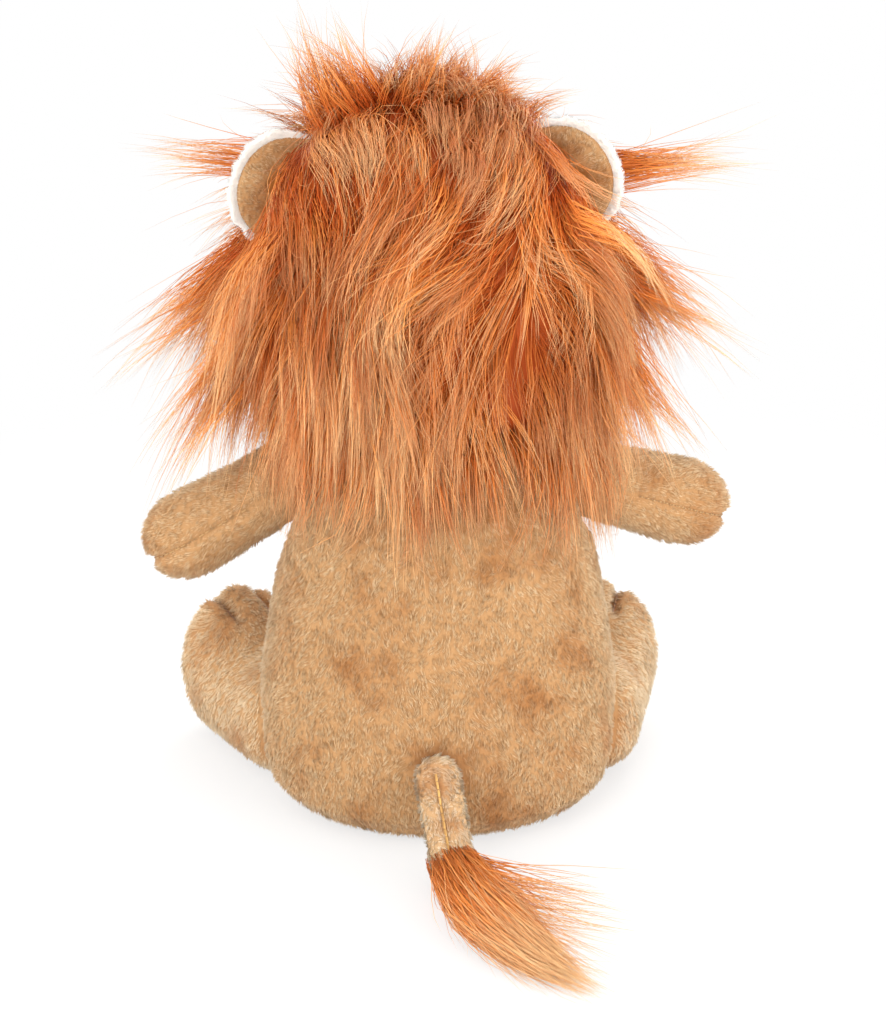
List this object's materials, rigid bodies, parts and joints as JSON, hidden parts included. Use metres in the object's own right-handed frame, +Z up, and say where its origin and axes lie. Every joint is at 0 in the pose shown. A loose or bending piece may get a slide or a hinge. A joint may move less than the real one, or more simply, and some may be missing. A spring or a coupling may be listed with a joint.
{
  "type": "plush lion",
  "caption": "Seated plush lion sewn from short-pile panels, with a long-pile mane and tail tuft, turning head, stub arms and legs, and a swinging tail.",
  "frame": {"origin": "middle of the flat patch that the torso sits on", "axes": "+Z up, -Y the way the lion looks, so its left side is +X and the tail is at +Y"},
  "size_m": [0.1914, 0.2116, 0.2423],
  "materials": {
    "tan_plush": "short tan pile, matt",
    "mane_pile": "long straight orange-brown synthetic pile, slightly shiny",
    "pale_plush": "short off-white pile, matt",
    "fibre_filling": "loose white polyester fibre",
    "cotton_bag": "plain woven cotton",
    "eye_plastic": "polished dark brown",
    "nose_plastic": "satin dark brown",
    "washer_plastic": "moulded, natural white"
  },
  "bodies": {
    "torso": {"torso_base": "tan_plush", "torso_belly": "tan_plush", "torso_back_left": "tan_plush", "torso_back_right": "tan_plush", "torso_filling": "fibre_filling", "pellet_bag": "cotton_bag"},
    "head": {"face_panel": "tan_plush", "muzzle": "pale_plush", "chin": "pale_plush", "nose": "nose_plastic", "nose_washer": "washer_plastic", "left_eye": "eye_plastic", "left_eye_washer": "washer_plastic", "right_eye": "eye_plastic", "right_eye_washer": "washer_plastic", "mane_crown": "mane_pile", "mane_back": "mane_pile", "mane_left": "mane_pile", "mane_right": "mane_pile", "head_filling": "fibre_filling"},
    "left_ear": {"left_ear_back": "tan_plush", "left_ear_lining": "pale_plush"},
    "right_ear": {"right_ear_back": "tan_plush", "right_ear_lining": "pale_plush"},
    "left_arm": {"left_arm_top": "tan_plush", "left_arm_under": "tan_plush", "left_arm_filling": "fibre_filling"},
    "right_arm": {"right_arm_top": "tan_plush", "right_arm_under": "tan_plush", "right_arm_filling": "fibre_filling"},
    "left_leg": {"left_leg": "tan_plush", "left_foot_sole": "tan_plush", "left_leg_filling": "fibre_filling"},
    "right_leg": {"right_leg": "tan_plush", "right_foot_sole": "tan_plush", "right_leg_filling": "fibre_filling"},
    "tail": {"tail": "tan_plush", "tail_filling": "fibre_filling", "tail_tuft": "mane_pile"}
  },
  "joints": [
    {"name": "head_turn", "type": "hinge", "parent": "torso", "child": "head", "pos_m": [0.003, -0.002, 0.177], "axis": [0, 0, 1], "range_deg": [-20, 20]},
    {"name": "left_arm_lift", "type": "hinge", "parent": "torso", "child": "left_arm", "pos_m": [0.0475, -0.003, 0.104], "axis": [-0.1392, -0.9903, 0], "range_deg": [-22, 12]},
    {"name": "right_arm_lift", "type": "hinge", "parent": "torso", "child": "right_arm", "pos_m": [-0.0475, -0.003, 0.104], "axis": [-0.4695, 0.8829, 0], "range_deg": [-22, 12]},
    {"name": "left_leg_spread", "type": "hinge", "parent": "torso", "child": "left_leg", "pos_m": [0.046, -0.008, 0.021], "axis": [0, 0, 1], "range_deg": [-5, 10]},
    {"name": "right_leg_spread", "type": "hinge", "parent": "torso", "child": "right_leg", "pos_m": [-0.046, -0.008, 0.021], "axis": [0, 0, -1], "range_deg": [-5, 10]},
    {"name": "tail_swing", "type": "hinge", "parent": "torso", "child": "tail", "pos_m": [0, 0.0596, 0.028], "axis": [0, 0, 1], "range_deg": [-25, 25]},
    {"name": "left_ear_fold", "type": "hinge", "parent": "head", "child": "left_ear", "pos_m": [0.04034, -0.00416, 0.19441], "axis": [-0.4548, -0.1837, 0.8714], "range_deg": [-12, 12]},
    {"name": "right_ear_fold", "type": "hinge", "parent": "head", "child": "right_ear", "pos_m": [-0.03274, -0.00416, 0.19763], "axis": [-0.5812, 0.2348, -0.7791], "range_deg": [-12, 12]}
  ]
}
